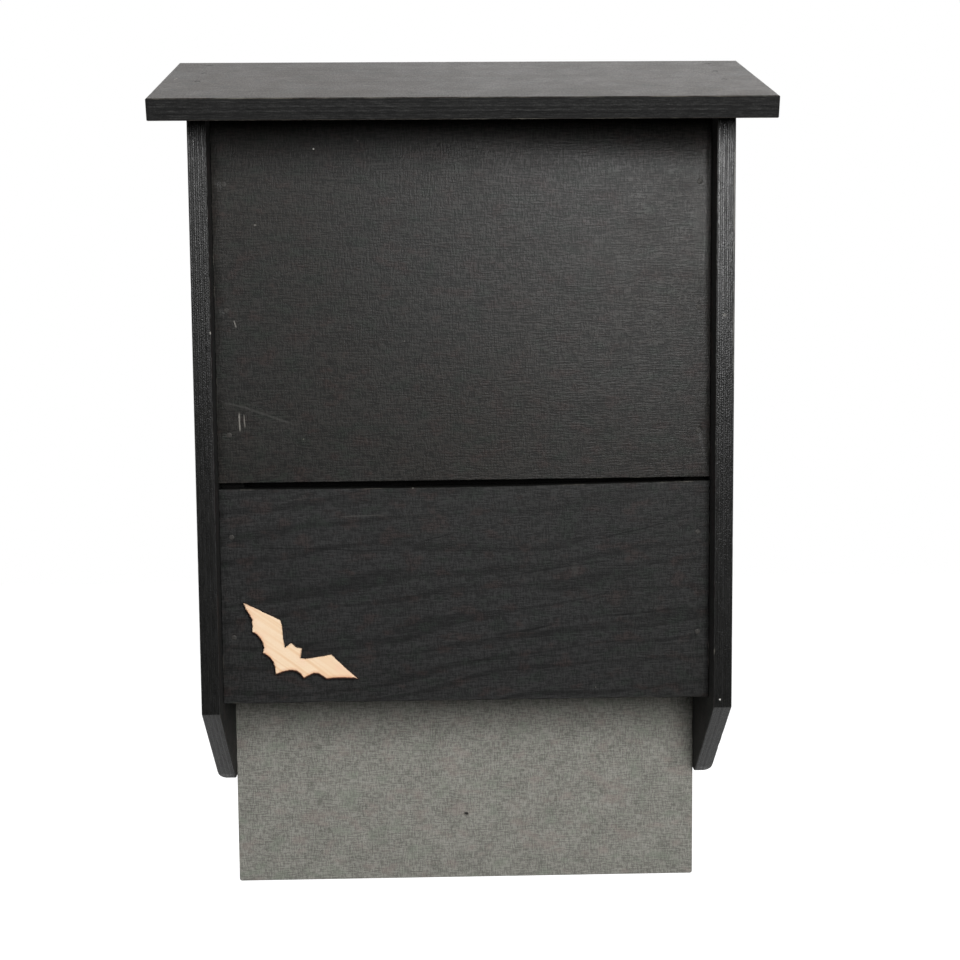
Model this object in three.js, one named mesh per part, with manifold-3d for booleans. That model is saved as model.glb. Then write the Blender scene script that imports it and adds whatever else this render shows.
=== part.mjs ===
// A bat box in black-stained plywood that hangs flat on a wall. Two cheeks stand either side of a
// back board whose lower end is the landing tail. A roof slopes down over the front, and two front
// panels sit back between the cheeks with a narrow vent between them. Behind the panels, strips and
// a kerfed partition make two roost crevices that are open at the bottom.
// Millimetres, +Z up. The box faces -Y and its rear face lies on the wall plane, Y = 0.

import * as THREE from "three";
import { mergeVertices } from "three/addons/utils/BufferGeometryUtils.js";
import Module from "manifold-3d";

const wasm = await Module();
wasm.setup();

// Boards
const bodyWidth = 330;
const plyThickness = 11.5;
const partitionThickness = 9;
const easedEdge = 0.5;

// Cheeks, the two side panels
const cheekDepth = 95;
const cheekFrontHeight = 370;
const cutBackHeight = 62.2;
const cutBackRadius = 1.5;
const cheekFootDepth = 17.5;
const cheekFootRadius = 2;
const footCornerRadius = 7;

// Back board and its landing tail
const tailHeight = 73.2;
const tailCornerRadius = 1.8;
const pilotHoleDiameter = 3.4;
const pilotHoleHeight = 43.8;

// Roof
const roofThickness = 12.8;
const roofPitchDegrees = 15;
const roofSideOverhang = 16;
const roofFrontOverhang = 50;
const roofSeatGap = 0.3;

// Front panels and the vent between them
const panelRecess = 18;
const panelEdgeAboveCut = 2.6;
const lowerPanelHeight = 135.7;
const ventGapLeft = 3.7;
const ventGapMiddle = 4.3;
const ventGapRight = 2.2;
const ventClimb = 0.8;

// Roost partition and its spacer strips
const spacerWidth = 15;
const partitionRise = 15;
const frontSpacerRise = 10;
const topPassage = 22;
const kerfSpacing = 12;
const kerfWidth = 1.4;
const kerfDepth = 1;
const kerfMargin = 14;

// Bat ornament, glued to the lower front panel: inset and rise run from the panel's lower left
// corner to the two wing tips
const batWidth = 86.3;
const batThickness = 3;
const batTiltDegrees = 35;
const batTipInset = 14.5;
const batTipRise = 15.3;

// Keyhole slot, routed into the rear of the back board to hang the box on a screw
const keyholeTopInset = 90;
const keyholeDiameter = 9;
const keyholeSlotWidth = 4.6;
const keyholeSlotRise = 11;
const keyholeLip = 3.5;
const keyholeFloor = 3;

// Fasteners
const fastenerGap = 0.3;
const pin = {
  diameter: 1.6, headDiameter: 3, headHeight: 1, coneHeight: 0, pointLength: 2, facets: 10,
};
const screw = {
  diameter: 3.5, headDiameter: 7, headHeight: 0.4, coneHeight: 2.2, pointLength: 5, facets: 16,
};
const crossLengthShare = 0.56;
const crossWidthShare = 0.13;
const crossDepthShare = 0.5;
const sideScrewLength = 35;
const sideScrewsPerCheek = 3;
const sideScrewEndInset = 60;
const roofPinLength = 30;
const roofPinsPerCheek = 3;
const roofPinEndInset = 15;
const pinTipCover = 9;
const upperPanelPinsPerSide = 3;
const lowerPanelPinsPerSide = 2;
const panelPinEndInset = 30;
const upperPinDrop = 19;
const lowerPinRise = 12;
const partitionPinsPerSide = 2;
const partitionPinEndInset = 40;

// Cutting and rounding
const cutOverrun = 2;
const curveSegments = 5;
const keyholeSegments = 6;
const pilotHoleFacets = 16;
const weldTolerance = 0.0001;

// Worked out from the sizes above
const roofPitch = THREE.MathUtils.degToRad(roofPitchDegrees);
const batTilt = THREE.MathUtils.degToRad(batTiltDegrees);
const quarterTurn = Math.PI / 2;
const innerHalfWidth = bodyWidth / 2 - plyThickness;
const cheekFootZ = tailHeight;
const cutBackZ = cheekFootZ + cutBackHeight;
const roofFrontZ = cutBackZ + cheekFrontHeight;
const boardHeight = roofFrontZ + cheekDepth * Math.tan(roofPitch);
const panelFrontDepth = cheekDepth - panelRecess;
const panelBackDepth = panelFrontDepth - plyThickness;
const creviceDepth = (panelBackDepth - plyThickness - partitionThickness) / 2;
const partitionBackDepth = plyThickness + creviceDepth;
const partitionFrontDepth = partitionBackDepth + partitionThickness;
const panelBottomZ = cutBackZ + panelEdgeAboveCut;
const lowerPanelTopZ = panelBottomZ + lowerPanelHeight;
const partitionBottomZ = panelBottomZ + partitionRise;
const partitionTopZ = roofUndersideZ(partitionFrontDepth) - topPassage;
const ventTopLeftZ = lowerPanelTopZ + ventGapMiddle - ventClimb / 2;
const ventTopRightZ = lowerPanelTopZ + ventGapMiddle + ventClimb / 2;
const roofSlopeLength = cheekDepth / Math.cos(roofPitch);
const upperPinTopZ = roofUndersideZ(panelFrontDepth) - upperPinDrop;
const lowerPinBottomZ = panelBottomZ + lowerPinRise;
const panelPinLength = plyThickness + creviceDepth - pinTipCover;
const partitionPinLength = partitionThickness + creviceDepth - pinTipCover;

// Height of the roof's underside at a depth in front of the wall.
function roofUndersideZ(depth) {
  return roofFrontZ + (cheekDepth - depth) * Math.tan(roofPitch);
}

const blackPly = new THREE.MeshStandardMaterial({ color: 0x3b3a37, roughness: 0.78, metalness: 0 });
const roofPly = new THREE.MeshStandardMaterial({ color: 0x4a4844, roughness: 0.8, metalness: 0 });
const greyBoard = new THREE.MeshStandardMaterial({ color: 0x7f7f77, roughness: 0.95, metalness: 0 });
const paleWood = new THREE.MeshStandardMaterial({ color: 0xecd2ab, roughness: 0.7, metalness: 0 });
const zincSteel = new THREE.MeshStandardMaterial({ color: 0xb9bcbe, roughness: 0.38, metalness: 1 });
const darkSteel = new THREE.MeshStandardMaterial({ color: 0x2f2e2c, roughness: 0.6, metalness: 0.6 });

const boxGroup = new THREE.Group();
boxGroup.name = "bat_box";
boxGroup.position.z = -boardHeight / 2;

// Axes for outlines: a side view is drawn as (depth, height) and grows towards -X, a front view as
// (across, height) and grows towards -Y.
const sideView = new THREE.Matrix4().makeBasis(
  new THREE.Vector3(0, -1, 0), new THREE.Vector3(0, 0, 1), new THREE.Vector3(-1, 0, 0));
const frontView = new THREE.Matrix4().makeBasis(
  new THREE.Vector3(1, 0, 0), new THREE.Vector3(0, 0, 1), new THREE.Vector3(0, -1, 0));

// Frame of the roof: origin on its underside over the cheeks' front edges, +Y up the slope.
const roofFrame = new THREE.Matrix4().makeTranslation(0, -cheekDepth, roofFrontZ)
  .multiply(new THREE.Matrix4().makeRotationX(roofPitch));

function at(x, y, z) {
  return new THREE.Matrix4().makeTranslation(x, y, z);
}

// A closed solid from a geometry: position only, shared corners merged, flat slivers left out.
function solidOf(geometry, matrix = new THREE.Matrix4()) {
  const bare = geometry.clone().applyMatrix4(matrix);
  bare.deleteAttribute("normal");
  bare.deleteAttribute("uv");
  const merged = mergeVertices(bare, weldTolerance);
  const corners = merged.index.array;
  const kept = [];
  for (let i = 0; i < corners.length; i += 3) {
    const [a, b, c] = corners.subarray(i, i + 3);
    if (a !== b && b !== c && c !== a) kept.push(a, b, c);
  }
  return new wasm.Manifold(new wasm.Mesh({
    numProp: 3,
    vertProperties: new Float32Array(merged.attributes.position.array),
    triVerts: new Uint32Array(kept),
  }));
}

function geometryOf(solid) {
  const mesh = solid.getMesh();
  const geometry = new THREE.BufferGeometry();
  geometry.setAttribute("position", new THREE.BufferAttribute(mesh.vertProperties, mesh.numProp));
  geometry.setIndex(new THREE.BufferAttribute(mesh.triVerts, 1));
  const flat = geometry.toNonIndexed();
  flat.computeVertexNormals();
  return flat;
}

function addPiece(name, solid, material, matrix = new THREE.Matrix4()) {
  const mesh = new THREE.Mesh(geometryOf(solid), material);
  mesh.name = name;
  mesh.applyMatrix4(matrix);
  boxGroup.add(mesh);
}

// A board cut to an outline, its arrises eased on both faces.
function board(outline, thickness) {
  const geometry = new THREE.ExtrudeGeometry(outline, {
    depth: thickness - 2 * easedEdge,
    bevelThickness: easedEdge,
    bevelSize: easedEdge,
    bevelOffset: -easedEdge,
    bevelSegments: 1,
    curveSegments,
  });
  return geometry.translate(0, 0, easedEdge);
}

// A square-edged prism of an outline, for cuts and for what is cut square.
function prism(outline, depth, segments = curveSegments) {
  return new THREE.ExtrudeGeometry(outline, { depth, bevelEnabled: false, curveSegments: segments });
}

function rectangle(left, bottom, right, top) {
  const outline = new THREE.Shape();
  outline.moveTo(left, bottom);
  outline.lineTo(right, bottom);
  outline.lineTo(right, top);
  outline.lineTo(left, top);
  outline.closePath();
  return outline;
}

// A closed outline through corner points, each corner rounded by its own radius.
function roundedOutline(corners) {
  const outline = new THREE.Shape();
  corners.forEach(({ point, radius }, index) => {
    const before = corners[(index + corners.length - 1) % corners.length].point;
    const after = corners[(index + 1) % corners.length].point;
    const toBefore = before.clone().sub(point).normalize();
    const toAfter = after.clone().sub(point).normalize();
    const reach = radius / Math.tan(toBefore.angleTo(toAfter) / 2);
    const start = point.clone().addScaledVector(toBefore, reach);
    const end = point.clone().addScaledVector(toAfter, reach);
    if (index === 0) outline.moveTo(start.x, start.y);
    else outline.lineTo(start.x, start.y);
    if (radius > 0) outline.quadraticCurveTo(point.x, point.y, end.x, end.y);
  });
  outline.closePath();
  return outline;
}

// The space above the roof's underside, which trims what stands under the roof.
function aboveRoof() {
  const reach = 2 * cheekDepth;
  const slab = new THREE.BoxGeometry(2 * bodyWidth, 2 * reach, reach);
  return solidOf(slab, roofFrame.clone().multiply(at(0, 0, reach / 2)));
}

// Fasteners are drawn head up on their own axis, the head's face at zero and the point below it.
function fastenerSection(kind, length) {
  const head = kind.headDiameter / 2;
  const shank = kind.diameter / 2;
  const underHead = -kind.headHeight - kind.coneHeight;
  return [
    new THREE.Vector2(0, -length),
    new THREE.Vector2(shank, -length + kind.pointLength),
    new THREE.Vector2(shank, underHead),
    new THREE.Vector2(head, -kind.headHeight),
    new THREE.Vector2(head, 0),
    new THREE.Vector2(0, 0),
  ];
}

function holeSection(kind, length) {
  const head = kind.headDiameter / 2 + fastenerGap;
  const shank = kind.diameter / 2 + fastenerGap;
  const underHead = -kind.headHeight - kind.coneHeight - fastenerGap;
  return [
    new THREE.Vector2(0, -length - fastenerGap),
    new THREE.Vector2(shank, -length - fastenerGap),
    new THREE.Vector2(shank, underHead),
    new THREE.Vector2(head, -kind.headHeight - fastenerGap),
    new THREE.Vector2(head, cutOverrun),
    new THREE.Vector2(0, cutOverrun),
  ];
}

function turned(section, facets, matrix = new THREE.Matrix4()) {
  const lathe = new THREE.LatheGeometry(section, facets).rotateX(quarterTurn);
  return solidOf(lathe, matrix);
}

// The cross recess of a countersunk screw.
function crossRecess(kind) {
  const length = kind.headDiameter * crossLengthShare;
  const width = kind.headDiameter * crossWidthShare;
  const depth = (kind.headHeight + kind.coneHeight) * crossDepthShare;
  const bar = new THREE.BoxGeometry(length, width, depth + cutOverrun);
  const sunk = at(0, 0, (cutOverrun - depth) / 2);
  const crossed = sunk.clone().multiply(new THREE.Matrix4().makeRotationZ(quarterTurn));
  return solidOf(bar, sunk).add(solidOf(bar, crossed));
}

function fastenerSolid(kind, length) {
  const body = turned(fastenerSection(kind, length), kind.facets);
  return kind.coneHeight > 0 ? body.subtract(crossRecess(kind)) : body;
}

// Places along a run, the first and last set in from its ends.
function insetRow(count, from, to, inset) {
  if (count === 1) return [(from + to) / 2];
  const step = (to - from - 2 * inset) / (count - 1);
  return Array.from({ length: count }, (_, i) => from + inset + step * i);
}

const facingWall = new THREE.Matrix4().makeRotationX(quarterTurn);

// Every fastener: what it is called, its kind and length, and where its head lies.
function fastenerList() {
  const list = [];
  const pinInto = (name, length, matrix) => list.push({
    name, kind: pin, length, material: darkSteel, matrix,
  });
  for (const [side, sign] of [["left", -1], ["right", 1]]) {
    const cheekMiddleX = sign * (bodyWidth - plyThickness) / 2;
    const stripX = sign * (innerHalfWidth - spacerWidth / 2);
    const inward = new THREE.Matrix4().makeRotationY(sign * quarterTurn);
    const onPanel = (z) => at(stripX, -panelFrontDepth, z).multiply(facingWall);
    const onPartition = (z) => at(stripX, -partitionFrontDepth, z).multiply(facingWall);
    const onRoof = (y) => roofFrame.clone().multiply(at(cheekMiddleX, y, roofSeatGap + roofThickness));
    insetRow(sideScrewsPerCheek, cheekFootZ, boardHeight, sideScrewEndInset).forEach((z, i) => list.push({
      name: `side_screw_${side}_${i + 1}`, kind: screw, length: sideScrewLength, material: zincSteel,
      matrix: at(sign * bodyWidth / 2, -plyThickness / 2, z).multiply(inward),
    }));
    insetRow(roofPinsPerCheek, 0, roofSlopeLength, roofPinEndInset)
      .forEach((y, i) => pinInto(`roof_pin_${side}_${i + 1}`, roofPinLength, onRoof(y)));
    insetRow(upperPanelPinsPerSide, ventTopLeftZ, upperPinTopZ, panelPinEndInset)
      .forEach((z, i) => pinInto(`upper_panel_pin_${side}_${i + 1}`, panelPinLength, onPanel(z)));
    insetRow(lowerPanelPinsPerSide, lowerPinBottomZ, lowerPanelTopZ, panelPinEndInset)
      .forEach((z, i) => pinInto(`lower_panel_pin_${side}_${i + 1}`, panelPinLength, onPanel(z)));
    insetRow(partitionPinsPerSide, partitionBottomZ, partitionTopZ, partitionPinEndInset)
      .forEach((z, i) => pinInto(`partition_pin_${side}_${i + 1}`, partitionPinLength, onPartition(z)));
  }
  return list;
}

const fasteners = fastenerList();

// A solid with the holes of the fasteners whose names start with one of the given words.
function drilled(solid, ...families) {
  let result = solid;
  for (const { name, kind, length, matrix } of fasteners) {
    if (!families.some((family) => name.startsWith(family))) continue;
    result = result.subtract(turned(holeSection(kind, length), kind.facets, matrix));
  }
  return result;
}

// Cheek: sloping top, straight front, lower front corner cut back to a narrow foot whose outer
// lower corner is rounded in the front view.
function cheek(sign) {
  const outline = roundedOutline([
    { point: new THREE.Vector2(0, cheekFootZ), radius: 0 },
    { point: new THREE.Vector2(cheekFootDepth, cheekFootZ), radius: cheekFootRadius },
    { point: new THREE.Vector2(cheekDepth, cutBackZ), radius: cutBackRadius },
    { point: new THREE.Vector2(cheekDepth, roofFrontZ), radius: 0 },
    { point: new THREE.Vector2(0, boardHeight), radius: 0 },
  ]);
  const outerX = bodyWidth / 2;
  const withinX = innerHalfWidth - cutOverrun;
  const aboveZ = boardHeight + cutOverrun;
  const startX = sign > 0 ? outerX : -innerHalfWidth;
  const slab = solidOf(board(outline, plyThickness), at(startX, 0, 0).multiply(sideView));
  const front = roundedOutline([
    { point: new THREE.Vector2(sign * withinX, cheekFootZ), radius: 0 },
    { point: new THREE.Vector2(sign * outerX, cheekFootZ), radius: footCornerRadius },
    { point: new THREE.Vector2(sign * outerX, aboveZ), radius: 0 },
    { point: new THREE.Vector2(sign * withinX, aboveZ), radius: 0 },
  ]);
  const ahead = prism(front, cheekDepth + 2 * cutOverrun);
  const rounded = slab.intersect(solidOf(ahead, at(0, cutOverrun, 0).multiply(frontView)));
  const side = sign > 0 ? "right" : "left";
  return drilled(rounded, `side_screw_${side}`, `roof_pin_${side}`);
}

// Keyhole slot: a screw's head goes in at the round end, and the box drops until the shank sits
// in the narrow slot, with the head behind the lip.
function keyholeSlot() {
  const radius = keyholeDiameter / 2;
  const slot = keyholeSlotWidth / 2;
  const joinAngle = Math.acos(slot / radius);
  const mouth = new THREE.Shape();
  mouth.absarc(0, 0, radius, Math.PI - joinAngle, 2 * Math.PI + joinAngle, false);
  mouth.lineTo(slot, keyholeSlotRise);
  mouth.absarc(0, keyholeSlotRise, slot, 0, Math.PI, false);
  mouth.closePath();
  const headRoom = new THREE.Shape();
  headRoom.absarc(0, 0, radius, Math.PI, 2 * Math.PI, false);
  headRoom.lineTo(radius, keyholeSlotRise);
  headRoom.absarc(0, keyholeSlotRise, radius, 0, Math.PI, false);
  headRoom.closePath();
  const entryZ = boardHeight - keyholeTopInset;
  const roomDepth = plyThickness - keyholeLip - keyholeFloor;
  const mouthSolid = prism(mouth, keyholeLip + cutOverrun + roomDepth / 2, keyholeSegments);
  const roomSolid = prism(headRoom, roomDepth, keyholeSegments);
  return solidOf(mouthSolid, at(0, cutOverrun, entryZ).multiply(frontView))
    .add(solidOf(roomSolid, at(0, -keyholeLip, entryZ).multiply(frontView)));
}

// Back board: fits between the cheeks and runs on below them as the landing tail, which has a
// hole for the lower fixing.
function backBoard() {
  const outline = roundedOutline([
    { point: new THREE.Vector2(-innerHalfWidth, 0), radius: tailCornerRadius },
    { point: new THREE.Vector2(innerHalfWidth, 0), radius: tailCornerRadius },
    { point: new THREE.Vector2(innerHalfWidth, boardHeight), radius: 0 },
    { point: new THREE.Vector2(-innerHalfWidth, boardHeight), radius: 0 },
  ]);
  const pilotHole = new THREE.CylinderGeometry(
    pilotHoleDiameter / 2, pilotHoleDiameter / 2, plyThickness + 2 * cutOverrun, pilotHoleFacets);
  const cut = solidOf(board(outline, plyThickness), frontView)
    .subtract(aboveRoof())
    .subtract(keyholeSlot())
    .subtract(solidOf(pilotHole, at(0, -plyThickness / 2, pilotHoleHeight)));
  return drilled(cut, "side_screw");
}

// Roof: one board, square-edged and eased, pinned down into the cheeks.
function roof() {
  const halfWidth = bodyWidth / 2 + roofSideOverhang;
  const outline = rectangle(-halfWidth, -roofFrontOverhang, halfWidth, roofSlopeLength);
  const seat = roofFrame.clone().multiply(at(0, 0, roofSeatGap));
  return drilled(solidOf(board(outline, roofThickness), seat), "roof_pin");
}

// Upper front panel: from the vent up to the roof, its top trimmed to the slope.
function upperPanel() {
  const outline = new THREE.Shape();
  outline.moveTo(-innerHalfWidth, ventTopLeftZ);
  outline.lineTo(innerHalfWidth, ventTopRightZ);
  outline.lineTo(innerHalfWidth, boardHeight);
  outline.lineTo(-innerHalfWidth, boardHeight);
  outline.closePath();
  const panel = solidOf(board(outline, plyThickness), at(0, -panelBackDepth, 0).multiply(frontView));
  return drilled(panel.subtract(aboveRoof()), "upper_panel_pin");
}

// Lower front panel: its top edge dips in the middle, so the vent is widest there.
function lowerPanel() {
  const leftTop = ventTopLeftZ - ventGapLeft;
  const rightTop = ventTopRightZ - ventGapRight;
  const dip = 2 * lowerPanelTopZ - (leftTop + rightTop) / 2;
  const outline = new THREE.Shape();
  outline.moveTo(-innerHalfWidth, panelBottomZ);
  outline.lineTo(innerHalfWidth, panelBottomZ);
  outline.lineTo(innerHalfWidth, rightTop);
  outline.quadraticCurveTo(0, dip, -innerHalfWidth, leftTop);
  outline.closePath();
  const panel = solidOf(board(outline, plyThickness), at(0, -panelBackDepth, 0).multiply(frontView));
  return drilled(panel, "lower_panel_pin");
}

// Partition: kerfed across both faces for the bats' claws, held between the spacer strips.
function partition() {
  const outline = new THREE.Shape();
  const levels = [];
  for (let z = partitionBottomZ + kerfMargin; z < partitionTopZ - kerfMargin; z += kerfSpacing) {
    levels.push(z);
  }
  outline.moveTo(partitionBackDepth, partitionBottomZ);
  outline.lineTo(partitionFrontDepth, partitionBottomZ);
  for (const z of levels) {
    outline.lineTo(partitionFrontDepth, z - kerfWidth / 2);
    outline.lineTo(partitionFrontDepth - kerfDepth, z);
    outline.lineTo(partitionFrontDepth, z + kerfWidth / 2);
  }
  outline.lineTo(partitionFrontDepth, partitionTopZ);
  outline.lineTo(partitionBackDepth, partitionTopZ);
  for (const z of levels.reverse()) {
    outline.lineTo(partitionBackDepth, z + kerfWidth / 2);
    outline.lineTo(partitionBackDepth + kerfDepth, z);
    outline.lineTo(partitionBackDepth, z - kerfWidth / 2);
  }
  outline.closePath();
  const across = at(innerHalfWidth, 0, 0).multiply(sideView);
  const kerfed = solidOf(prism(outline, 2 * innerHalfWidth), across);
  return drilled(kerfed, "partition_pin");
}

// Spacer strips, glued to the cheeks behind and in front of the partition.
function rearSpacer(sign) {
  const inner = sign * (innerHalfWidth - spacerWidth);
  const outer = sign * innerHalfWidth;
  const outline = rectangle(
    Math.min(inner, outer), partitionBottomZ, Math.max(inner, outer), partitionTopZ);
  const strip = solidOf(board(outline, creviceDepth), at(0, -plyThickness, 0).multiply(frontView));
  return drilled(strip, "partition_pin");
}

function frontSpacer(sign) {
  const inner = sign * (innerHalfWidth - spacerWidth);
  const outer = sign * innerHalfWidth;
  const outline = rectangle(
    Math.min(inner, outer), panelBottomZ + frontSpacerRise, Math.max(inner, outer), boardHeight);
  const place = at(0, -partitionFrontDepth, 0).multiply(frontView);
  const strip = solidOf(board(outline, creviceDepth), place);
  return drilled(strip.subtract(aboveRoof()), "upper_panel_pin", "lower_panel_pin");
}

// Half of the bat's outline, as shares of half its span: x along the wing axis, y towards the head.
const batOutlineShares = {
  headDip: [0, -0.122],
  earTip: [0.088, -0.088],
  neck: [0.138, -0.216],
  neckBend: [0.27, -0.122],
  wrist: [0.465, 0.072],
  wingBend: [0.72, 0.01],
  tip: [1, 0],
  tipBend: [0.762, -0.072],
  points: [[0.634, -0.272], [0.344, -0.454], [0, -0.606]],
  scallops: [[0.447, -0.287], [0.165, -0.437]],
};

// Bat silhouette: ears, wrists and a scalloped trailing edge, cut from thin plywood.
function batOrnament() {
  const half = batWidth / 2;
  const s = batOutlineShares;
  const outline = new THREE.Shape();
  const line = (point, sign) => outline.lineTo(sign * point[0] * half, point[1] * half);
  const curve = (bend, point, sign) => outline.quadraticCurveTo(
    sign * bend[0] * half, bend[1] * half, sign * point[0] * half, point[1] * half);
  // A scallop passes through its own crown, so its bend lies as far again beyond it.
  const through = (from, crown, to) => crown.map((value, k) => 2 * value - (from[k] + to[k]) / 2);
  outline.moveTo(s.headDip[0] * half, s.headDip[1] * half);
  line(s.earTip, -1);
  line(s.neck, -1);
  curve(s.neckBend, s.wrist, -1);
  curve(s.wingBend, s.tip, -1);
  curve(s.tipBend, s.points[0], -1);
  curve(through(s.points[0], s.scallops[0], s.points[1]), s.points[1], -1);
  curve(through(s.points[1], s.scallops[1], s.points[2]), s.points[2], -1);
  curve(through(s.points[2], s.scallops[1], s.points[1]), s.points[1], 1);
  curve(through(s.points[1], s.scallops[0], s.points[0]), s.points[0], 1);
  curve(s.tipBend, s.tip, 1);
  curve(s.wingBend, s.wrist, 1);
  curve(s.neckBend, s.neck, 1);
  line(s.earTip, 1);
  outline.closePath();
  const centreX = -innerHalfWidth + batTipInset + half * Math.cos(batTilt);
  const centreZ = panelBottomZ + batTipRise + half * Math.sin(batTilt);
  const place = at(centreX, -panelFrontDepth, centreZ)
    .multiply(new THREE.Matrix4().makeRotationY(batTilt))
    .multiply(frontView);
  return solidOf(prism(outline, batThickness), place);
}

addPiece("left_cheek", cheek(-1), blackPly);
addPiece("right_cheek", cheek(1), blackPly);
addPiece("back_board", backBoard(), greyBoard);
addPiece("roof", roof(), roofPly);
addPiece("upper_front_panel", upperPanel(), blackPly);
addPiece("lower_front_panel", lowerPanel(), blackPly);
addPiece("roost_partition", partition(), blackPly);
addPiece("rear_spacer_left", rearSpacer(-1), blackPly);
addPiece("rear_spacer_right", rearSpacer(1), blackPly);
addPiece("front_spacer_left", frontSpacer(-1), blackPly);
addPiece("front_spacer_right", frontSpacer(1), blackPly);
addPiece("bat_ornament", batOrnament(), paleWood);
for (const { name, kind, length, material, matrix } of fasteners) {
  addPiece(name, fastenerSolid(kind, length), material, matrix);
}

export default boxGroup;
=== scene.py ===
from math import cos, pi, radians, sin

import bmesh
import bpy
from mathutils import Matrix, Vector, noise


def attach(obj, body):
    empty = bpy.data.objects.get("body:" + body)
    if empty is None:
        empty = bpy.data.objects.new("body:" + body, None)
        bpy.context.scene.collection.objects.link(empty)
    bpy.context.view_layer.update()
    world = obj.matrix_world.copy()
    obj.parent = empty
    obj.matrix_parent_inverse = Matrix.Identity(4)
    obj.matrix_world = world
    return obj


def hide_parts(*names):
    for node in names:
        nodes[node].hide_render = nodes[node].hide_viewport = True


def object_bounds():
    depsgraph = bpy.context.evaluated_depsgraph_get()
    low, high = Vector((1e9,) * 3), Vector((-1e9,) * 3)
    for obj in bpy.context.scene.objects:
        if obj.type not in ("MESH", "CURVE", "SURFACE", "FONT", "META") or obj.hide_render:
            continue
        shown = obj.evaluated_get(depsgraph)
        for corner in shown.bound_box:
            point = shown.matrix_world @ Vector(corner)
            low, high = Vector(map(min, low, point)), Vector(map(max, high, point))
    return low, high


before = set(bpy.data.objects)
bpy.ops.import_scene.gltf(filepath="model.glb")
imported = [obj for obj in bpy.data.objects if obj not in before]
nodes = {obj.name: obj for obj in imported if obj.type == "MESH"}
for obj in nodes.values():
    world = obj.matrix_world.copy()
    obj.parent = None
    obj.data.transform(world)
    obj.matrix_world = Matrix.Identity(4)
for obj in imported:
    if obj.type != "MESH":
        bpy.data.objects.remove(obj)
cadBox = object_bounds()
scene = bpy.context.scene
mm = 0.001
weld = 0.001 * mm
coplanar = radians(0.6)
roofPitch = radians(15)
print("frame loaded:", len(nodes), "parts")


# Shader and mesh helpers

def addNode(tree, kind, inputs=None, **settings):
    made = tree.nodes.new(kind)
    for key, value in settings.items():
        setattr(made, key, value)
    for key, value in (inputs or {}).items():
        if isinstance(value, bpy.types.NodeSocket):
            tree.links.new(value, made.inputs[key])
        else:
            made.inputs[key].default_value = value
    return made


def mathOf(tree, operation, first, second=0.0, third=0.0, clamp=False):
    return addNode(tree, "ShaderNodeMath", {0: first, 1: second, 2: third},
                   operation=operation, use_clamp=clamp).outputs[0]


def plus(tree, first, second):
    return mathOf(tree, "ADD", first, second)


def minus(tree, first, second):
    return mathOf(tree, "SUBTRACT", first, second)


def times(tree, first, second):
    return mathOf(tree, "MULTIPLY", first, second)


def timesPlus(tree, first, second, third):
    return mathOf(tree, "MULTIPLY_ADD", first, second, third)


def vectorOf(tree, operation, *vectors, scale=None):
    inputs = dict(enumerate(vectors))
    if scale is not None:
        inputs[3] = scale
    made = addNode(tree, "ShaderNodeVectorMath", inputs, operation=operation)
    return made.outputs["Value" if operation in ("LENGTH", "DISTANCE", "DOT_PRODUCT") else "Vector"]


def ramp(tree, value, low, high):
    # A smooth step of a value between two levels
    return addNode(tree, "ShaderNodeMapRange", {"Value": value, "From Min": low, "From Max": high},
                   interpolation_type="SMOOTHSTEP").outputs["Result"]


def mixColour(tree, factor, first, second):
    return addNode(tree, "ShaderNodeMix", {0: factor, 6: first, 7: second}, data_type="RGBA").outputs[2]


def laidOver(tree, colour, mask, strength, tint):
    return mixColour(tree, times(tree, mask, strength), colour, tint)


def noiseOf(tree, vector, scale, detail, roughness=0.5, result="Fac"):
    return addNode(tree, "ShaderNodeTexNoise", {
        "Vector": vector, "Scale": scale, "Detail": detail, "Roughness": roughness}).outputs[result]


def placeOf(tree):
    return addNode(tree, "ShaderNodeTexCoord").outputs["Object"]


def turnedBy(tree, vector, angles):
    return addNode(tree, "ShaderNodeMapping", {"Vector": vector, "Rotation": angles}).outputs[0]


def attributesOf(tree, *labels):
    return [addNode(tree, "ShaderNodeAttribute", attribute_name=label).outputs["Fac"] for label in labels]


def newGroup(name, **inputs):
    # A group that takes a vector and these inputs, each a vector or a plain number
    tree = bpy.data.node_groups.new(name, "ShaderNodeTree")
    for label, value in {"Vector": (0.0, 0.0, 0.0), **inputs}.items():
        kind = "NodeSocketVector" if isinstance(value, tuple) else "NodeSocketFloat"
        tree.interface.new_socket(label, in_out="INPUT", socket_type=kind).default_value = value
    return tree, tree.nodes.new("NodeGroupInput").outputs


def closeGroup(tree, **results):
    for label in results:
        tree.interface.new_socket(label, in_out="OUTPUT", socket_type="NodeSocketFloat")
    end = tree.nodes.new("NodeGroupOutput").inputs
    for label, value in results.items():
        tree.links.new(value, end[label])
    return tree


def useGroup(tree, group, vector, **inputs):
    return addNode(tree, "ShaderNodeGroup", {"Vector": vector, **inputs}, node_tree=group).outputs


def newMaterial(name):
    material = bpy.data.materials.new(name)
    material.use_nodes = True
    tree = material.node_tree
    tree.nodes.clear()
    output = tree.nodes.new("ShaderNodeOutputMaterial")
    shader = tree.nodes.new("ShaderNodeBsdfPrincipled")
    tree.links.new(shader.outputs[0], output.inputs["Surface"])
    return material, tree, shader


def setFinish(tree, shader, colour, rough):
    tree.links.new(colour, shader.inputs["Base Color"])
    tree.links.new(rough, shader.inputs["Roughness"])


def setRelief(tree, shader, height, strength, distance):
    bump = addNode(tree, "ShaderNodeBump", {"Height": height, "Strength": strength, "Distance": distance})
    tree.links.new(bump.outputs[0], shader.inputs["Normal"])


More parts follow.
